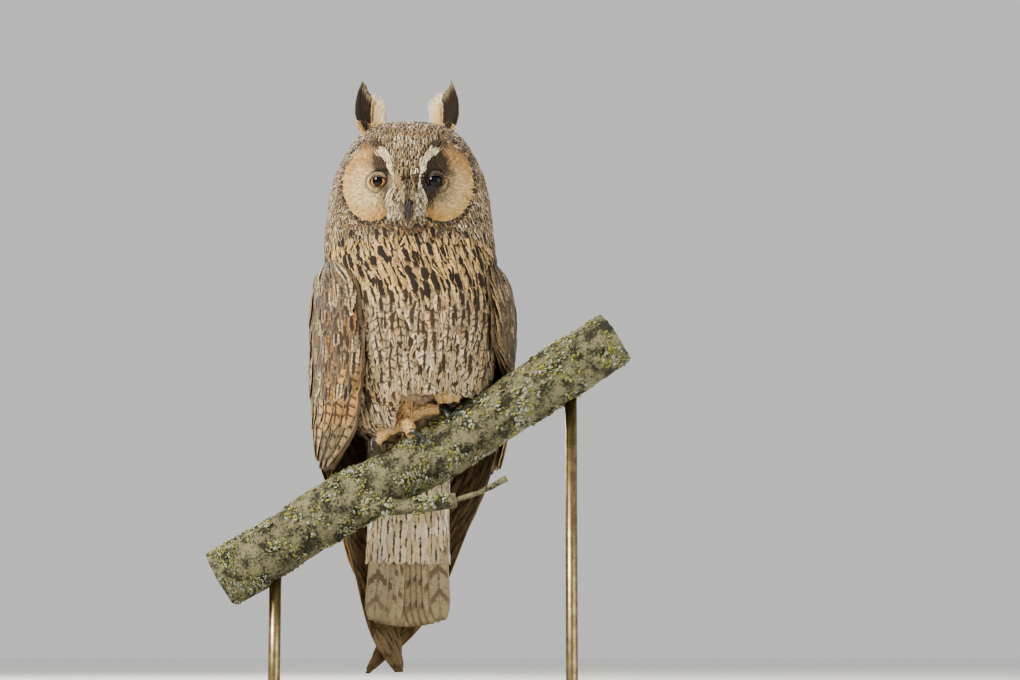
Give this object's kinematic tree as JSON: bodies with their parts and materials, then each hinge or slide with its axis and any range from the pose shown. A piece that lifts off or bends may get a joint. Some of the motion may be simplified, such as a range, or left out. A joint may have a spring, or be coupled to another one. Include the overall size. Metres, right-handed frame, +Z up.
{
  "type": "long-eared owl",
  "caption": "Life-size still model of a long-eared owl sitting upright on a cut branch, one foot drawn up, held by a flat display stand.",
  "frame": {"origin": "centre of the underside of the stand's base, where the model rests", "axes": "+Z up, the owl looks along -Y, +X to the owl's left, which is the viewer's right"},
  "size_m": [0.2816, 0.17, 0.4267],
  "materials": {
    "face_feathers": "soft fringed feathers, warm buff face with dark rim",
    "coat_feathers": "soft mottled buff, grey and dark brown feathers",
    "belly_feathers": "pale buff feathers with dark shaft streaks and cross bars",
    "wing_feathers": "mottled grey-brown coverts and barred flight feathers",
    "tail_feathers": "barred grey-buff tail feathers",
    "tuft_feathers": "blackish brown feathers with pale buff edges",
    "leg_feathers": "short dense buff feathers",
    "horn": "dark horn with a dull shine",
    "eye": "wet clear cornea over an orange iris",
    "bark": "rough oak bark with yellow and grey lichen",
    "base_wood": "dark satin wood",
    "rod_metal": "dull brushed brass"
  },
  "bodies": {
    "root": {"head": "face_feathers", "neck": "coat_feathers", "torso": "belly_feathers", "tail": "tail_feathers", "wing_right": "wing_feathers", "wing_left": "wing_feathers", "ear_tuft_right": "tuft_feathers", "ear_tuft_left": "tuft_feathers", "eye_right": "eye", "eye_left": "eye", "bill_upper": "horn", "bill_lower": "horn", "leg_right": "leg_feathers", "leg_left": "leg_feathers", "claw_right_1": "horn", "claw_right_2": "horn", "claw_right_3": "horn", "claw_right_4": "horn", "claw_left_1": "horn", "claw_left_2": "horn", "claw_left_3": "horn", "claw_left_4": "horn", "perch_branch": "bark", "stand_rod_left": "rod_metal", "stand_rod_right": "rod_metal", "stand_base": "base_wood"}
  },
  "joints": []
}
